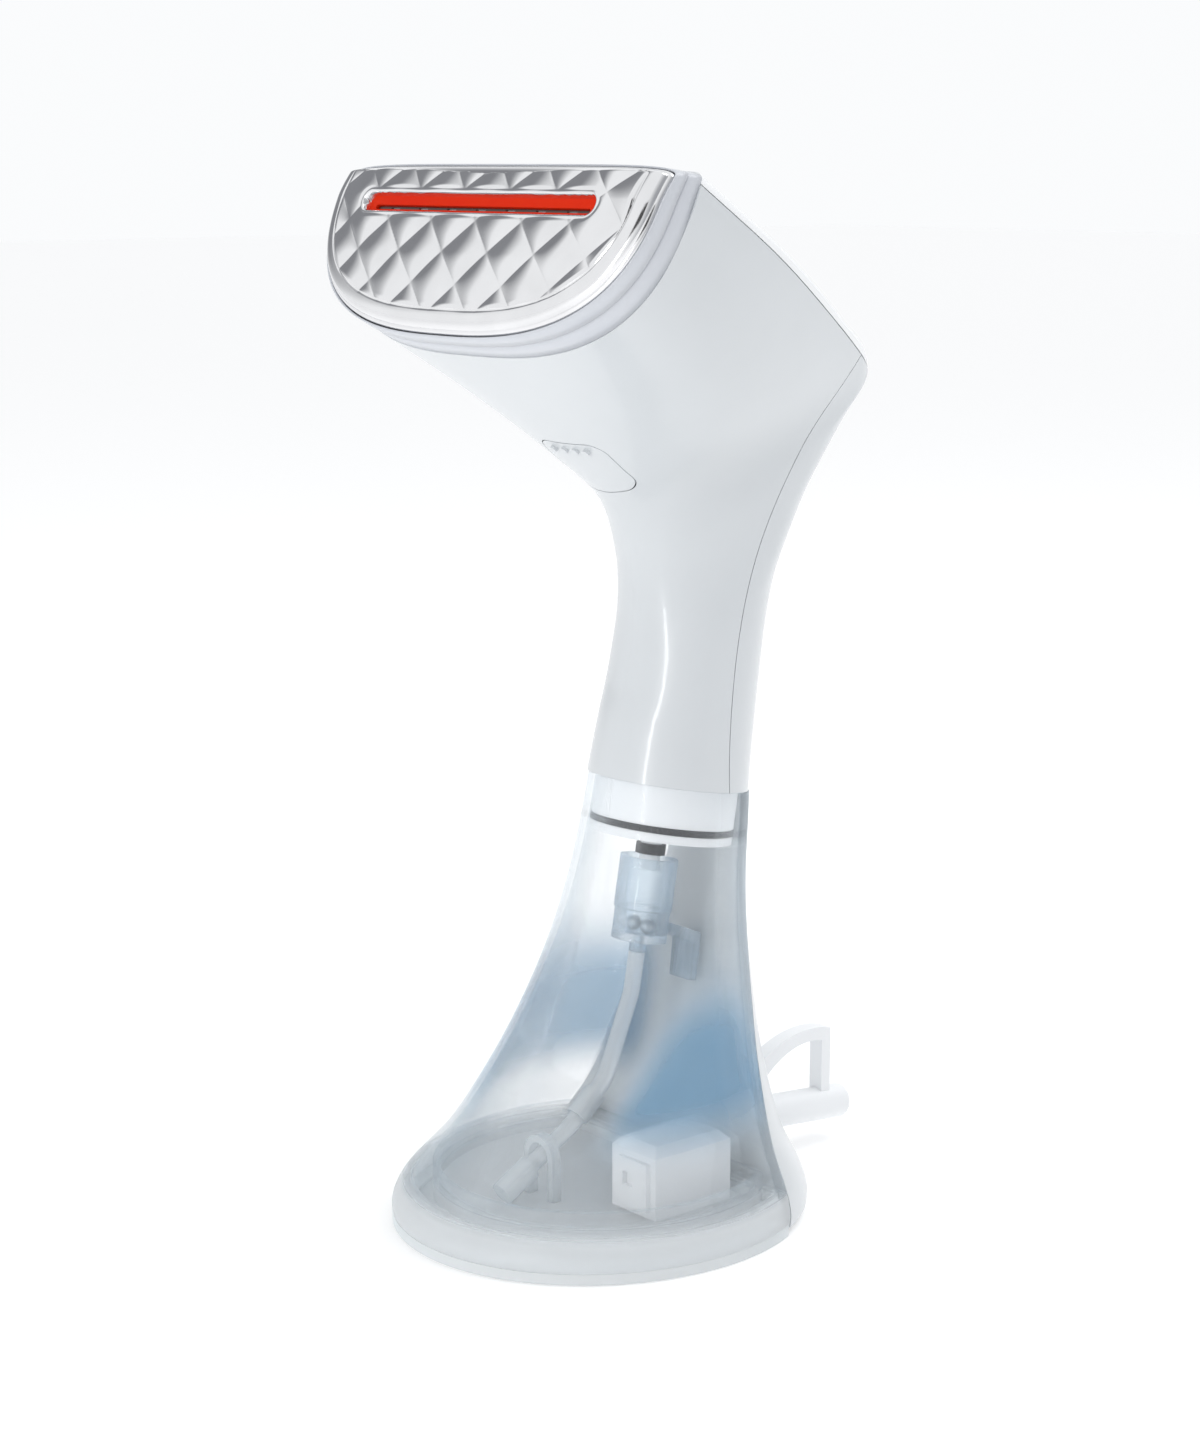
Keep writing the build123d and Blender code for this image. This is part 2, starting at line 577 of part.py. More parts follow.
BOX_MID = (26.3, 4.0)
BOX_WIDE, BOX_LONG, BOX_TALL = 18.5, 28.0, 20.5
filter_box = Box(BOX_WIDE, BOX_LONG, BOX_TALL)
filter_box = chamfer(filter_box.faces().sort_by(Axis.Z)[-1].edges(), 2.6)
save("filter_box", Pos(BOX_MID[0], BOX_MID[1], floor_top + BOX_TALL / 2) * filter_box)
latch_y = BOX_MID[1] - BOX_LONG / 2 - 0.8
latch = Pos(BOX_MID[0] + 1, latch_y, floor_top + 9) * Box(12, 1.5, 14)
latch -= Pos(BOX_MID[0] - 1, latch_y, floor_top + 10) * Box(4, 3, 4)
save("filter_latch", latch)

CLIP_Y = -21.5
clip_eye = Pos(0, CLIP_Y, floor_top + 12) * Rot(90, 0, 0)
arch = clip_eye * Cylinder(6.4, 3.2)
arch += Pos(0, CLIP_Y, floor_top + 6) * Box(12.8, 3.2, 12)
arch -= clip_eye * Cylinder(4.2, 6)
arch -= Pos(0, CLIP_Y, floor_top + 6) * Box(8.4, 6, 12.2)
save("tube_clip", arch)

VALVE_BACK = NIPPLE_BACK
riser = axis_plane(-30, VALVE_BACK) * (Cylinder(8.4, 15) - Cylinder(7.2, 16))
save("riser_tube", riser)
valve = axis_plane(-42, VALVE_BACK) * Cylinder(8.0, 9)
valve -= axis_plane(-40.5, VALVE_BACK) * Cylinder(6.0, 8)
valve += axis_plane(-48, VALVE_BACK) * Cylinder(2.4, 4)
valve -= axis_plane(-48, VALVE_BACK) * Cylinder(1.2, 14)
save("inlet_valve", valve)
BALL_R = 2.2
BALL_Z = -44.5 + BALL_R + 0.05
balls = [axis_plane(BALL_Z, VALVE_BACK, x) * Sphere(BALL_R) for x in (-3.0, 3.0)]
save("valve_balls", Compound(balls))
arm_start = axis_point(-41, VALVE_BACK + 8.05)
arm_reach = -(PARTING_GAP + WALL_TANK + 0.1)
arm = yz_prism([
    arm_start,
    parting_point(-44, arm_reach),
    parting_point(-58, arm_reach),
    parting_point(-58, arm_reach - 2.4),
    parting_point(-47, arm_reach - 2.8),
    (arm_start[0], arm_start[1] - 3.0),
], 4.5)
save("valve_bracket", arm)

tube_route = [
    axis_plane(-50.2, VALVE_BACK).origin,
    Vector(0, 11.5, 62.0),
    Vector(0, 1.5, 38.0),
    Vector(0, -11.0, 27.0),
    Vector(0, -26.0, 18.2),
]
save("suction_tube", tube_along(tube_route, 2.4, 12.0))
sleeve_plane = Plane(origin=(0, -5.4, 31.9), z_dir=(0, 12.5, 11.0))
save("tube_sleeve", sleeve_plane * (Cylinder(3.4, 9.0) - Cylinder(2.45, 10)))
weight_plane = Plane(origin=(0, -31.1, 15.2), z_dir=(0, 15.0, 8.8))
save("tube_weight", weight_plane * Cylinder(3.6, 11.5))

# ------------------------------------------------------- spine, gland and loop
SPINE_WALL = 1.4
SPINE_PLATE = 1.0
spine_low = 2.2
spine_bell = bell_volume(0.0, spine_low)
spine_hollow = bell_volume(SPINE_WALL, spine_low + 2.0)
spine = (spine_bell & below_seam(0.1)) & behind_parting(PARTING_GAP)
spine -= spine_hollow & behind_parting(PARTING_GAP - 1)
GLAND_R, GLAND_BORE, GLAND_TILT = 5.2, 3.4, 5.0
GLAND_TIP = (97.0, 10.9)
GLAND_LONG = 46.0
gland_dir = Vector(0, cos(radians(GLAND_TILT)), -sin(radians(GLAND_TILT)))


def gland_plane(from_tip):
    """Plane across the gland, a distance in from its tip, local Z out of the tip."""
    y = GLAND_TIP[0] - gland_dir.Y * from_tip
    z = GLAND_TIP[1] - gland_dir.Z * from_tip
    return Plane(origin=(0, y, z), x_dir=(1, 0, 0), z_dir=gland_dir)


gland = gland_plane(GLAND_LONG / 2) * Cylinder(GLAND_R, GLAND_LONG)
gland = fillet(gland.edges().filter_by(GeomType.CIRCLE).sort_by(Axis.Y)[-1], 1.6)
gland -= gland_plane(GLAND_LONG / 2) * Cylinder(GLAND_BORE, GLAND_LONG + 2)
save("cord_gland", gland)
spine -= gland_plane(30) * Cylinder(GLAND_R + 0.05, 60)
save("rear_spine", spine)
spine_plate = bell_volume(SPINE_WALL + 0.1, spine_low + 2.1) & below_seam(0.2)
spine_plate &= behind_parting(PARTING_GAP)
spine_plate -= behind_parting(PARTING_GAP + SPINE_PLATE)
save("spine_plate", spine_plate)

LOOP_HALF = 2.6
outer_arch = [
    Spline((0, 50, 21), (0, 60, 30.6), (0, 73, 36.4), (0, 89.8, 36.2)),
    Polyline((0, 89.8, 36.2), (0, 89.8, 12), (0, 50, 12), (0, 50, 21)),
]
inner_arch = [
    Spline((0, 56, 17), (0, 63.5, 26.4), (0, 74, 32.4), (0, 86.2, 32.8)),
    Polyline((0, 86.2, 32.8), (0, 86.2, 8), (0, 56, 8), (0, 56, 17)),
]
loop = extrude(make_face(outer_arch), amount=LOOP_HALF, dir=(1, 0, 0), both=True)
loop -= extrude(make_face(inner_arch), amount=LOOP_HALF + 1, dir=(1, 0, 0), both=True)
loop -= gland_plane(30) * Cylinder(GLAND_R + 0.02, 70)
loop -= spine_bell
save("hanging_loop", loop)
wires = []
for x in (-1.7, 1.7):
    route = [
        Vector(x, 44, 17),
        Vector(x, 41, 34),
        Vector(x, *parting_point(-72, 4.2)),
        Vector(x, *axis_point(1.0, 20.85)),
        Vector(x, *axis_point(14, 17.4)),
        Vector(x, 50.5, 186),
        Vector(x + 8, 56, 231.2),
    ]
    wires.append(tube_along(route, 0.75, 6.0))
save("mains_wires", Compound(wires))
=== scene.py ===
import json
import math

import bpy
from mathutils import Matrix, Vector


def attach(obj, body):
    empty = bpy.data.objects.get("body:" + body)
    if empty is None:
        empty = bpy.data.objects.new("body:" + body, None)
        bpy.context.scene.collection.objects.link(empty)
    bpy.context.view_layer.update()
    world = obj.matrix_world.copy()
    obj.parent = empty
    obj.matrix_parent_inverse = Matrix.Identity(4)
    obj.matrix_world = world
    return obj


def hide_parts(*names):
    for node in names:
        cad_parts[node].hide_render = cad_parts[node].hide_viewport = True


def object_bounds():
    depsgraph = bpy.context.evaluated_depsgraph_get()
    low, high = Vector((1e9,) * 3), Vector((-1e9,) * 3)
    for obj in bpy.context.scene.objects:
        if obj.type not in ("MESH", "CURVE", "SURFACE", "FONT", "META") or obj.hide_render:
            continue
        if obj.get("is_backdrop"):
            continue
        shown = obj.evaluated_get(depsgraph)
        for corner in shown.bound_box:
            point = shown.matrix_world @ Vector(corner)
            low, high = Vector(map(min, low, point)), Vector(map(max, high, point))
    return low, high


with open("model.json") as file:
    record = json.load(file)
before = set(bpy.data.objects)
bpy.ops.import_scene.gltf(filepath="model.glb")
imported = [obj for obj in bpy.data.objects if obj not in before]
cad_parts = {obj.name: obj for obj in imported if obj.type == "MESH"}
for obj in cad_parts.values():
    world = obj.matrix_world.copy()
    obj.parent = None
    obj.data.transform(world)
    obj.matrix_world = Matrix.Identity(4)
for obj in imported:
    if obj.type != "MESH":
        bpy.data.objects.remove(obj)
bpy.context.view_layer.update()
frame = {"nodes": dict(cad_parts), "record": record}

# ------------------------------------------------------------------ dimensions
# the same driving sizes as the model, in metres
PLATE_TILT = math.radians(26.0)
PLATE_TOP = Vector((0.0, -0.0344, 0.2954))
PLATE_UP = Vector((0.0, math.sin(PLATE_TILT), math.cos(PLATE_TILT)))
PLATE_OUT = Vector((0.0, -math.cos(PLATE_TILT), math.sin(PLATE_TILT)))
PLATE_HALF = 0.0666
PLATE_TALL = 0.0466
PLATE_WIDEST = 0.92
SLOT_DROP = 0.0124
SLOT_HALF = 0.049
SLOT_TALL = 0.0054
OUTLINE_TOP_POWER = 5.0  # squareness of the plate's outline above its widest line
OUTLINE_LOW_POWER = 2.75
WIDEST_DROP = PLATE_TALL * (1 - PLATE_WIDEST)
HOUSING_LOW = Vector((0.0, -0.0444, 0.2462))
HOUSING_TOP = Vector((0.0, -0.0238, 0.2946))
HOUSING_HALF = 0.0686
HOUSING_LOW_POWER = 2.9

QUILT_X = 0.0191  # width and height of a diamond
QUILT_DROP = 0.0175
QUILT_START = Vector((0.0036, 0.035))  # a crossing of the creases, (x, drop)
PILLOW = 0.0008
PILLOW_ROUND = 0.72
RIM_WIDE = 0.0046
RIM_RISE = 0.0024
CROWN = 0.0012  # rise of the middle of the plate over its rim
CROWN_FROM_EDGE = 0.02
ROLL = 0.0017  # how far the top edge curls back, and how far down that starts
ROLL_FROM = 0.0105
SLOT_DEEP = 0.0034
COLUMNS, ROWS = 420, 190
RING = 480  # points round an outline

CLEAR_IOR = 1.35
SIDE_SHADE_BLUE = (0.3, 0.5, 0.68)  # painted shade: the deeper blue of the tank's left and right sides, where its walls are seen edge on, and where it starts and ends
SIDE_SHADE_LEFT = (-0.01, -0.025)
SIDE_SHADE_RIGHT = (0.024, 0.033)
SIDE_SHADE_RISE = (0.022, 0.042)
SIDE_SHADE_FALL = (0.088, 0.056)
SIDE_SHADE_SOLID = 0.75
FROSTED = (0.9, 0.925, 0.94)  # the tank's foot
FROST = (0.0135, 0.0095)
FROST_SOLID = 0.88
FROST_ROUGH = 0.4
TANK_ROUGH = 0.05

AIM = Vector((0.0, -0.0002, 0.1433))
VIEW_TURN, VIEW_RISE, VIEW_AWAY = math.radians(50.0), math.radians(11.29), 0.7819
LIGHT_AIM = Vector((0.0, 0.0, 0.16))
STUDIO_WHITE = (0.98, 0.985, 0.99, 1.0)


# ------------------------------------------------------------------- materials
def new_material(name, colour, roughness, metallic=0.0):
    """Principled material with its constant values set on the shader."""
    material = bpy.data.materials.new(name)
    material.use_nodes = True
    shader = material.node_tree.nodes["Principled BSDF"]
    shader.inputs["Base Color"].default_value = (*colour, 1.0)
    shader.inputs["Roughness"].default_value = roughness
    shader.inputs["Metallic"].default_value = metallic
    return material, shader


def link(material, source, socket, target, slot):
    """Join an output of one node to an input of another."""
    material.node_tree.links.new(source.outputs[socket], target.inputs[slot])


def noise(material, scale, detail=4.0, stretch=(1.0, 1.0, 1.0)):
    """Noise over the object's own coordinates."""
    nodes = material.node_tree.nodes
    coords = nodes.new("ShaderNodeTexCoord")
    mapping = nodes.new("ShaderNodeMapping")
    mapping.inputs["Scale"].default_value = stretch
    texture = nodes.new("ShaderNodeTexNoise")
    texture.inputs["Scale"].default_value = scale
    texture.inputs["Detail"].default_value = detail
    link(material, coords, "Object", mapping, "Vector")
    link(material, mapping, "Vector", texture, "Vector")
    return texture


def ramp(material, texture, low, high, start=0.3, end=0.7):
    """The noise turned into a range of colours."""
    node = material.node_tree.nodes.new("ShaderNodeValToRGB")
    node.color_ramp.elements[0].position = start
    node.color_ramp.elements[0].color = (*low, 1.0)
    node.color_ramp.elements[1].position = end
    node.color_ramp.elements[1].color = (*high, 1.0)
    link(material, texture, "Fac", node, "Fac")
    return node


def add_grain(material, shader, scale, depth, stretch=(1.0, 1.0, 1.0)):
    """Fine bumps from noise."""
    bump = material.node_tree.nodes.new("ShaderNodeBump")
    bump.inputs["Strength"].default_value = 1.0
    bump.inputs["Distance"].default_value = depth
    link(material, noise(material, scale, 3.0, stretch), "Fac", bump, "Height")
    link(material, bump, "Normal", shader, "Normal")


def add_mottle(material, shader, low, high, scale=30.0):
    """A slow change of colour over the surface."""
    colours = ramp(material, noise(material, scale), low, high)
    link(material, colours, "Color", shader, "Base Color")


def plastic(
    name, colour, roughness, grain=700.0, depth=0.00001, coat=0.0, shift=0.02, gloss=0.5
):
    """Opaque plastic with a faint mottle and moulding grain."""
    material, shader = new_material(name, colour, roughness)
    low = tuple(max(0.0, c - shift) for c in colour)
    add_mottle(material, shader, low, colour)
    add_grain(material, shader, grain, depth)
    shader.inputs["Specular IOR Level"].default_value = gloss
    shader.inputs["Coat Weight"].default_value = coat
    shader.inputs["Coat Roughness"].default_value = 0.08
    return material


def metal(name, colour, roughness, stretch=(1.0, 1.0, 1.0), depth=0.000004):
    """Metal with a fine directional grain."""
    material, shader = new_material(name, colour, roughness, 1.0)
    add_mottle(material, shader, tuple(c * 0.93 for c in colour), colour, 90.0)
    add_grain(material, shader, 900.0, depth, stretch)
    return material


def clear(name, colour, edge, roughness, through, solid, depth=0.000004, grain=260.0):
    """See-through plastic with a slight waviness, deeper in colour where it is seen edge on.

    through is how much of its light passes into it, and solid is how much of it is there
    seen square on and seen edge on.
    """
    material, shader = new_material(name, colour, roughness)
    shader.inputs["Transmission Weight"].default_value = through
    shader.inputs["IOR"].default_value = CLEAR_IOR
    nodes = material.node_tree.nodes
    low = tuple(c * 0.98 for c in colour)
    middle = ramp(material, noise(material, 20.0), low, colour)
    facing = nodes.new("ShaderNodeLayerWeight")
    facing.inputs["Blend"].default_value = 0.4
    mix = nodes.new("ShaderNodeMix")
    mix.data_type = "RGBA"
    mix.inputs["B"].default_value = (*edge, 1.0)
    link(material, facing, "Facing", mix, "Factor")
    link(material, middle, "Color", mix, "A")
    link(material, mix, "Result", shader, "Base Color")
    cover = nodes.new("ShaderNodeMapRange")
    cover.inputs["To Min"].default_value = solid[0]
    cover.inputs["To Max"].default_value = solid[1]
    link(material, facing, "Facing", cover, "Value")
    link(material, cover, "Result", shader, "Alpha")
    add_grain(material, shader, grain, depth)
    return material


LOOKS = {
    "body_white": plastic("body_white", (0.64, 0.665, 0.685), 0.3, coat=0.35),
    # painted light: the covers are the same white plastic as the body, made lighter for the
    # light falling on their upward faces
    "cover_white": plastic("cover_white", (0.88, 0.89, 0.9), 0.24, coat=0.4),
    "bezel_white": plastic("bezel_white", (0.6, 0.62, 0.66), 0.34),
    "quilted_metal": metal("quilted_metal", (0.86, 0.86, 0.87), 0.13),
    "seal_red": plastic("seal_red", (0.72, 0.032, 0.0), 0.6, 400.0, 0.00002, gloss=0.12),
    "gasket_black": plastic("gasket_black", (0.02, 0.02, 0.024), 0.6, shift=0.005),
    "strip_dark": metal("strip_dark", (0.16, 0.13, 0.12), 0.35, (1.0, 8.0, 8.0)),
    "clear_tank": clear(
        "clear_tank", (0.93, 0.96, 0.98), (0.45, 0.62, 0.75), TANK_ROUGH, 0.5, (0.09, 0.5)
    ),
    "frosted_rim": clear(
        "frosted_rim",
        (0.92, 0.94, 0.95),
        (0.8, 0.86, 0.89),
        0.3,
        0.15,
        (0.6, 0.9),
        0.00006,
        1500.0,
    ),
    "clear_blue": clear(
        "clear_blue", (0.72, 0.84, 0.93), (0.2, 0.4, 0.6), 0.05, 0.7, (0.45, 0.9)
    ),
    "tube_clear": clear(
        "tube_clear", (0.9, 0.93, 0.95), (0.7, 0.78, 0.83), 0.2, 0.4, (0.6, 0.9)
    ),
    "inner_white": plastic("inner_white", (0.9, 0.915, 0.93), 0.4),
    "cast_aluminium": metal("cast_aluminium", (0.6, 0.6, 0.61), 0.45, depth=0.00003),
    "steel": metal("steel", (0.56, 0.56, 0.57), 0.28),
    "copper_wire": metal("copper_wire", (0.72, 0.34, 0.16), 0.3, (1.0, 1.0, 12.0), 0.00003),
    "silicone_hose": plastic("silicone_hose", (0.8, 0.8, 0.76), 0.5),
    "dark_plastic": plastic("dark_plastic", (0.05, 0.05, 0.055), 0.45, shift=0.01),
}


def span(material, source, start, end):
    """0 to 1 between two values of a coordinate."""
    node = material.node_tree.nodes.new("ShaderNodeMapRange")
    node.interpolation_type = "SMOOTHSTEP"
    node.inputs["From Min"].default_value = start
    node.inputs["From Max"].default_value = end
    material.node_tree.links.new(source, node.inputs["Value"])
    return node.outputs[0]


def combine(material, operation, one, two):
    """Two values put together."""
    node = material.node_tree.nodes.new("ShaderNodeMath")
    node.operation = operation
    material.node_tree.links.new(one, node.inputs[0])
    material.node_tree.links.new(two, node.inputs[1])
    return node.outputs[0]


def finish_tank(material):
    """Frosts the tank's foot and paints shade on its sides: a deeper, more solid blue where
    the walls are seen edge on.
    """
    nodes = material.node_tree.nodes
    links = material.node_tree.links
    shader = nodes["Principled BSDF"]
    coords = nodes.new("ShaderNodeTexCoord")
    axes = nodes.new("ShaderNodeSeparateXYZ")
    links.new(coords.outputs["Object"], axes.inputs[0])
    # painted shade: a deeper, less see-through blue on the tank's left and right sides,
    # where its walls are seen edge on
    left = span(material, axes.outputs["X"], *SIDE_SHADE_LEFT)
    right = span(material, axes.outputs["X"], *SIDE_SHADE_RIGHT)
    sides = combine(material, "ADD", left, right)
    rise = span(material, axes.outputs["Z"], *SIDE_SHADE_RISE)
    fall = span(material, axes.outputs["Z"], *SIDE_SHADE_FALL)
    side_shade = combine(material, "MULTIPLY", sides, combine(material, "MULTIPLY", rise, fall))
    foot = span(material, axes.outputs["Z"], *FROST)
    for amount, colour, solid in ((side_shade, SIDE_SHADE_BLUE, SIDE_SHADE_SOLID), (foot, FROSTED, FROST_SOLID)):
        tint = nodes.new("ShaderNodeMix")
        tint.data_type = "RGBA"
        tint.inputs["B"].default_value = (*colour, 1.0)
        links.new(amount, tint.inputs["Factor"])
        links.new(shader.inputs["Base Color"].links[0].from_socket, tint.inputs["A"])
        links.new(tint.outputs["Result"], shader.inputs["Base Color"])
        cover = nodes.new("ShaderNodeMix")
        cover.inputs["B"].default_value = solid
        links.new(amount, cover.inputs["Factor"])
        links.new(shader.inputs["Alpha"].links[0].from_socket, cover.inputs["A"])
        links.new(cover.outputs["Result"], shader.inputs["Alpha"])
    rough = nodes.new("ShaderNodeMapRange")
    rough.inputs["To Min"].default_value = TANK_ROUGH
    rough.inputs["To Max"].default_value = FROST_ROUGH
    links.new(foot, rough.inputs["Value"])
    links.new(rough.outputs[0], shader.inputs["Roughness"])


finish_tank(LOOKS["clear_tank"])

for entry in frame["record"]["subparts"]:
    node = frame["nodes"][entry["node"]]
    for holder in node.material_slots:
        holder.material = LOOKS[entry["material_slot"]]


# -------------------------------------------------------------------- building
def add_piece(name, points, faces, slot):
    """A smooth mesh piece that rides on the handle."""
    mesh = bpy.data.meshes.new(name)
    mesh.from_pydata([tuple(p) for p in points], [], faces)
    mesh.validate()
    mesh.update()
    for polygon in mesh.polygons:
        polygon.use_smooth = True
    mesh.materials.append(LOOKS[slot])
    piece = bpy.data.objects.new(name, mesh)
    bpy.context.scene.collection.objects.link(piece)
    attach(piece, "handle")
    return piece


def grid_faces(rows, columns, closed=False):
    """Quads between rows of points, each with the same number of columns."""
    wrap = columns if closed else columns - 1
    return [
        (
            r * columns + c,
            r * columns + (c + 1) % columns,
            (r + 1) * columns + (c + 1) % columns,
            (r + 1) * columns + c,
        )
        for r in range(rows - 1)
        for c in range(wrap)
    ]


def add_band(name, rings, slot):
    """A piece skinned over a row of closed outlines."""
    points = [p for ring in rings for p in ring]
    return add_piece(name, points, grid_faces(len(rings), RING, True), slot)


def plate_point(x, drop, height):
    """A point on the steam plate: down from its top edge and out of its face."""
    return PLATE_TOP + Vector((x, 0.0, 0.0)) - PLATE_UP * drop + PLATE_OUT * height


# ------------------------------------------------------------ quilted plate
def outline_reach(x, above):
    """How far the plate's outline is above or below its widest line."""
    power = OUTLINE_TOP_POWER if above else OUTLINE_LOW_POWER
    reach = WIDEST_DROP if above else PLATE_TALL - WIDEST_DROP
    return reach * (1 - min(1.0, abs(x) / PLATE_HALF) ** power) ** (1 / power)


def outline_level(x, drop):
    """0 in the middle of the plate, 1 on its outline."""
    v = drop - WIDEST_DROP
    power = OUTLINE_TOP_POWER if v < 0 else OUTLINE_LOW_POWER
    reach = WIDEST_DROP if v < 0 else PLATE_TALL - WIDEST_DROP
    return ((abs(x) / PLATE_HALF) ** power + (abs(v) / reach) ** power) ** (1 / power)


def edge_distance(x, drop):
    """About how far a point is inside the plate's outline."""
    step = 0.0001
    level = outline_level(x, drop)
    slope_x = (outline_level(x + step, drop) - outline_level(x - step, drop)) / (2 * step)
    slope_d = (outline_level(x, drop + step) - outline_level(x, drop - step)) / (2 * step)
    return max(0.0, (1 - level) / max(8.0, math.hypot(slope_x, slope_d)))


def smooth_step(value, start, end):
    """0 to 1 between two values, level at both ends."""
    t = min(1.0, max(0.0, (value - start) / (end - start)))
    return t * t * (3 - 2 * t)


def slot_distance(x, drop):
    """Distance outside the steam slot, negative inside it."""
    straight = SLOT_HALF - SLOT_TALL / 2
    across = max(0.0, abs(x) - straight)
    return math.hypot(across, drop - SLOT_DROP) - SLOT_TALL / 2


def roll_back(drop):
    """How far the plate's top part curls back from its face."""
    return ROLL * max(0.0, 1 - drop / ROLL_FROM) ** 1.6


def plate_height(x, drop):
    """Height of the quilted surface out of the plate's rim plane."""
    inside = edge_distance(x, drop)
    rim = min(1.0, inside / RIM_WIDE)
    height = RIM_RISE * math.sqrt(1 - (1 - rim) ** 2)
    height += CROWN * smooth_step(inside, RIM_WIDE, CROWN_FROM_EDGE)
    height -= roll_back(drop)
    u = (x - QUILT_START.x) / QUILT_X
    w = (drop - QUILT_START.y) / QUILT_DROP
    one = abs(math.sin(math.pi * (u + w)))
    two = abs(math.sin(math.pi * (u - w)))
    away = slot_distance(x, drop)
    from_rim = smooth_step(inside, RIM_WIDE * 0.85, RIM_WIDE * 1.35)
    fade = from_rim * smooth_step(away, 0.0002, 0.0022)
    height += PILLOW * fade * (one * two) ** PILLOW_ROUND
    height -= 0.00025 * (1 - smooth_step(abs(inside - RIM_WIDE), 0.0, 0.0004))
    height += 0.0003 * (1 - smooth_step(abs(away - 0.0006), 0.0, 0.0006))
    return height - SLOT_DEEP * smooth_step(-away, -0.0001, 0.0005)


plate_points = []
for r in range(ROWS):
    share = r / (ROWS - 1)
    for c in range(COLUMNS):
        turn = -math.pi / 2 + math.pi * c / (COLUMNS - 1)
        x = PLATE_HALF * (0.55 * math.sin(turn) + 0.45 * turn / (math.pi / 2))
        top = WIDEST_DROP - outline_reach(x, True)
        low = WIDEST_DROP + outline_reach(x, False)
        drop = top + (low - top) * share
        plate_points.append(plate_point(x, drop, plate_height(x, drop)))
quilt = add_piece("quilted_plate", plate_points, grid_faces(ROWS, COLUMNS), "quilted_metal")


def superellipse_ring(half, up, down, low_power):
    """Closed outline as (x, v) pairs, counted from the right."""
    ring = []
    for k in range(RING):
        a = 2 * math.pi * k / RING
        c, s = math.cos(a), math.sin(a)
        n = OUTLINE_TOP_POWER if s > 0 else low_power
        reach = up if s > 0 else down
        x = half * math.copysign(abs(c) ** (2 / n), c)
        ring.append((x, reach * math.copysign(abs(s) ** (2 / n), s)))
    return ring


def plate_ring(grow, height):
    """The plate's outline, grown outwards and moved out of its face."""
    pairs = superellipse_ring(
        PLATE_HALF + grow,
        WIDEST_DROP + grow * 0.9,
        PLATE_TALL - WIDEST_DROP + grow,
        OUTLINE_LOW_POWER,
    )
    return [
        plate_point(x, WIDEST_DROP - v, height - roll_back(max(0.0, WIDEST_DROP - v)))
        for x, v in pairs
    ]


def housing_ring(grow):
    """Front outline of the head's housing, grown outwards."""
    up = (HOUSING_TOP - HOUSING_LOW).normalized()
    tall = (HOUSING_TOP - HOUSING_LOW).length
    centre = HOUSING_LOW + up * tall * PLATE_WIDEST
    pairs = superellipse_ring(
        HOUSING_HALF + grow,
        tall * (1 - PLATE_WIDEST) + grow,
        tall * PLATE_WIDEST + grow,
        HOUSING_LOW_POWER,
    )
    return [centre + Vector((x, 0.0, 0.0)) + up * v for x, v in pairs]


def mix_rings(one, two, share):
    """An outline part of the way from one to another."""
    return [p.lerp(q, share) for p, q in zip(one, two)]


side_rings = [
    plate_ring(0.0, 0.0),
    plate_ring(0.0006, -0.0003),
    plate_ring(0.0009, -0.0009),
    plate_ring(0.0009, -0.0026),
]
add_band("plate_side", side_rings, "quilted_metal")
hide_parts("steam_plate")

gasket_rings = [
    plate_ring(0.0006, -0.0028),
    plate_ring(0.0006, -0.0016),
    plate_ring(0.00125, -0.0016),
    plate_ring(0.00125, -0.0028),
]
gasket = add_band("plate_edge_gasket", gasket_rings, "gasket_black")
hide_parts("plate_gasket")

front = plate_ring(0.0017, -0.0009)
rear = housing_ring(0.0)
groove_front = plate_ring(0.0009, -0.0006)
groove_rear = housing_ring(-0.0006)
lip = [plate_ring(0.0012, -0.0032), plate_ring(0.0012, -0.0012), plate_ring(0.0013, -0.0008)]
band = [front, mix_rings(front, rear, 0.2), mix_rings(front, rear, 0.42)]
groove = [mix_rings(groove_front, groove_rear, share) for share in (0.44, 0.47)]
tail = [mix_rings(front, housing_ring(-0.0002), share) for share in (0.49, 0.75, 1.0)]
inner = [housing_ring(-0.0024)]
bezel = add_band("head_bezel", lip + band + groove + tail + inner, "bezel_white")
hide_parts("plate_bezel")


# ---------------------------------------------------------------------- camera
toward = Vector(
    (
        math.sin(VIEW_TURN) * math.cos(VIEW_RISE),
        -math.cos(VIEW_TURN) * math.cos(VIEW_RISE),
        math.sin(VIEW_RISE),
    )
)
camera_data = bpy.data.cameras.new("camera")
camera_data.lens = 70.0
camera_data.sensor_width = 36.0
camera = bpy.data.objects.new("camera", camera_data)
camera.location = AIM + toward * VIEW_AWAY
camera.rotation_euler = (-toward).to_track_quat("-Z", "Y").to_euler()
bpy.context.scene.collection.objects.link(camera)
bpy.context.scene.camera = camera
bpy.context.scene.view_settings.view_transform = "Standard"


# ------------------------------------------------------------- floor and light
def add_light(name, at, size, size_y, power):
    """Soft box aimed at the middle of the object."""
    data = bpy.data.lights.new(name, "AREA")
    data.shape = "RECTANGLE"
    data.size = size
    data.size_y = size_y
    data.energy = power
    lamp = bpy.data.objects.new(name, data)
    lamp.location = at
    aim = LIGHT_AIM - Vector(at)
    lamp.rotation_euler = aim.to_track_quat("-Z", "Y").to_euler()
    bpy.context.scene.collection.objects.link(lamp)


def add_card(name, corners, look):
    """One flat face of the studio, not of the object."""
    mesh = bpy.data.meshes.new(name)
    mesh.from_pydata(corners, [], [(0, 1, 2, 3)])
    mesh.materials.append(look)
    card = bpy.data.objects.new(name, mesh)
    bpy.context.scene.collection.objects.link(card)
    return card


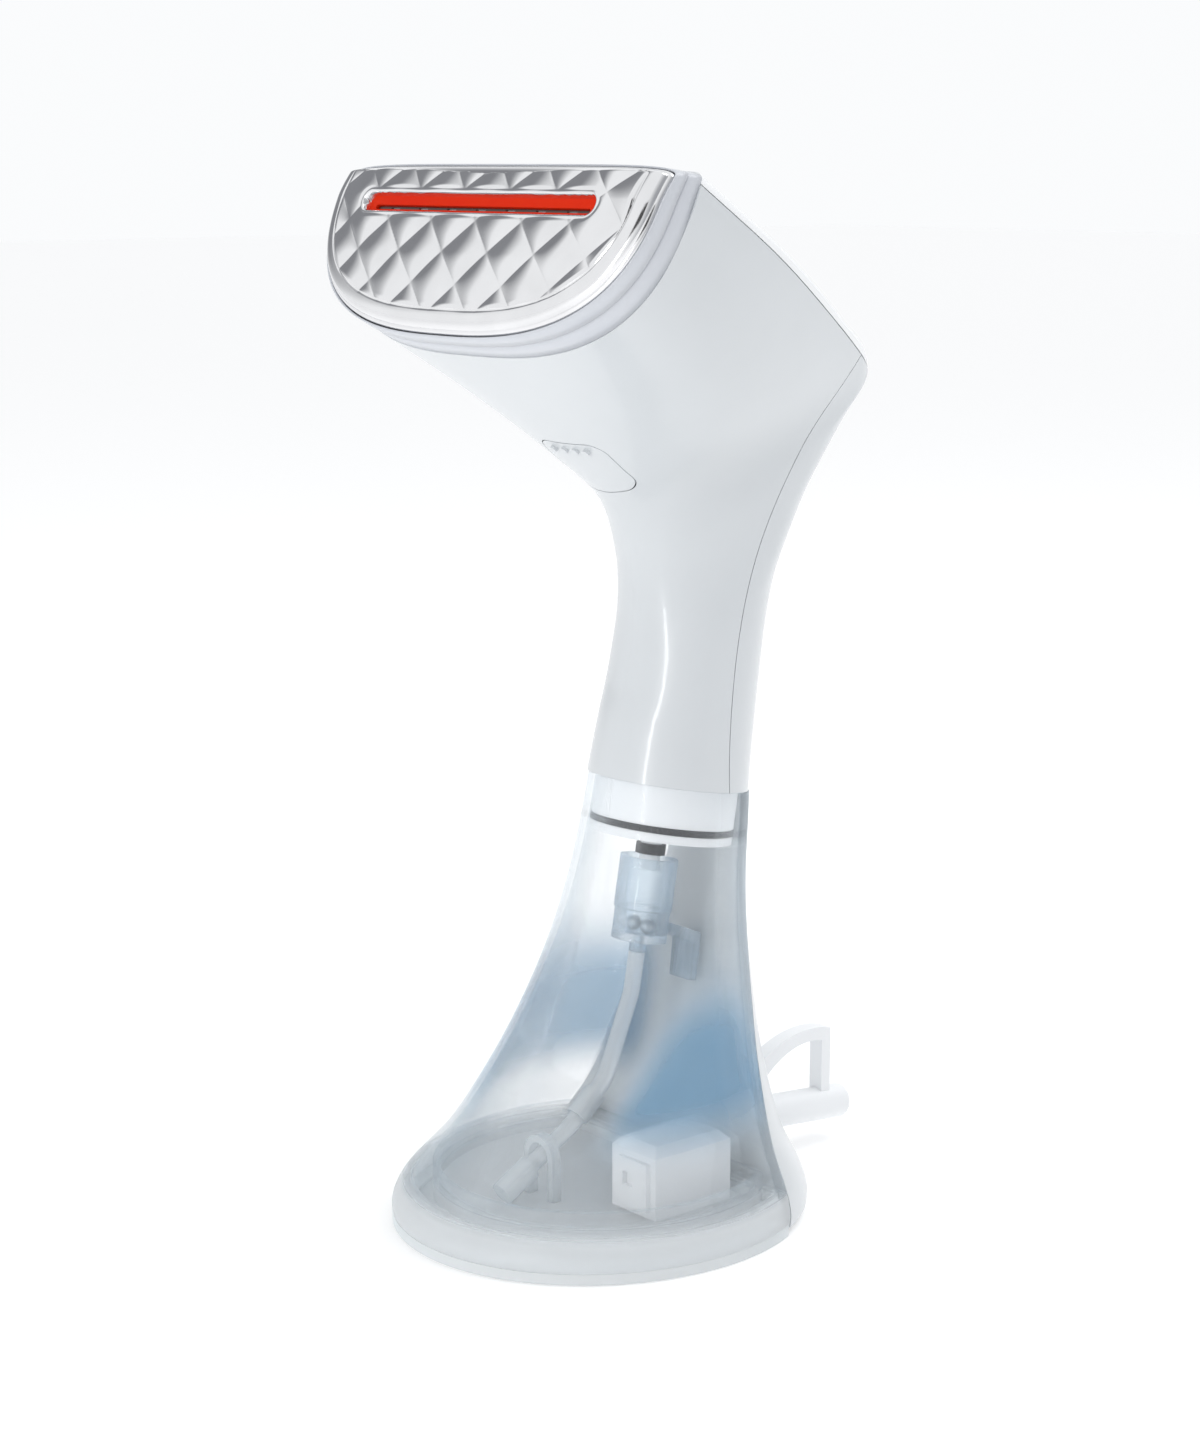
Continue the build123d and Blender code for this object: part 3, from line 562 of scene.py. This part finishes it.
floor_look, floor_shader = new_material("floor", (0.8, 0.8, 0.8), 0.9)
floor_shader.inputs["Emission Color"].default_value = (1.0, 1.0, 1.0, 1.0)
floor_shader.inputs["Emission Strength"].default_value = 0.3
floor = add_card("floor", [(-9, -9, 0), (9, -9, 0), (9, 9, 0), (-9, 9, 0)], floor_look)
floor.location.z = -0.0003
floor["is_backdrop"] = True

card_look, _ = new_material("dark_card", (0.02, 0.02, 0.02), 0.9)
card = add_card(
    "dark_card",
    [(0.17, -1.1, 0.76), (0.72, -0.9, 0.76), (0.68, -0.86, 1.02), (0.13, -1.06, 1.02)],
    card_look,
)
card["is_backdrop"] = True

world = bpy.data.worlds.new("studio")
bpy.context.scene.world = world
world.use_nodes = True
sky = world.node_tree
coords = sky.nodes.new("ShaderNodeTexCoord")
shades = []
for direction, start, end, dark in (
    ((-0.9, 0.0, 0.436), 0.855, 0.96, (0.26, 0.265, 0.28, 1.0)),
    ((0.95, 0.25, 0.2), 0.3, 0.95, (0.42, 0.43, 0.45, 1.0)),
):
    toward_dark = sky.nodes.new("ShaderNodeVectorMath")
    toward_dark.operation = "DOT_PRODUCT"
    toward_dark.inputs[1].default_value = direction
    shade = sky.nodes.new("ShaderNodeValToRGB")
    shade.color_ramp.elements[0].position = start
    shade.color_ramp.elements[0].color = STUDIO_WHITE
    shade.color_ramp.elements[1].position = end
    shade.color_ramp.elements[1].color = dark
    sky.links.new(coords.outputs["Generated"], toward_dark.inputs[0])
    sky.links.new(toward_dark.outputs["Value"], shade.inputs["Fac"])
    shades.append(shade)
both = sky.nodes.new("ShaderNodeMix")
both.data_type = "RGBA"
both.blend_type = "MULTIPLY"
both.inputs["Factor"].default_value = 1.0
sky.links.new(shades[0].outputs["Color"], both.inputs["A"])
sky.links.new(shades[1].outputs["Color"], both.inputs["B"])
sky.links.new(both.outputs["Result"], sky.nodes["Background"].inputs["Color"])

add_light("top_box", (0.3, 0.6, 1.3), 1.0, 1.0, 7.5)
add_light("strip", (0.35, -1.3, 0.35), 0.1, 0.7, 3.5)

bpy.context.view_layer.update()
low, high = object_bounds()
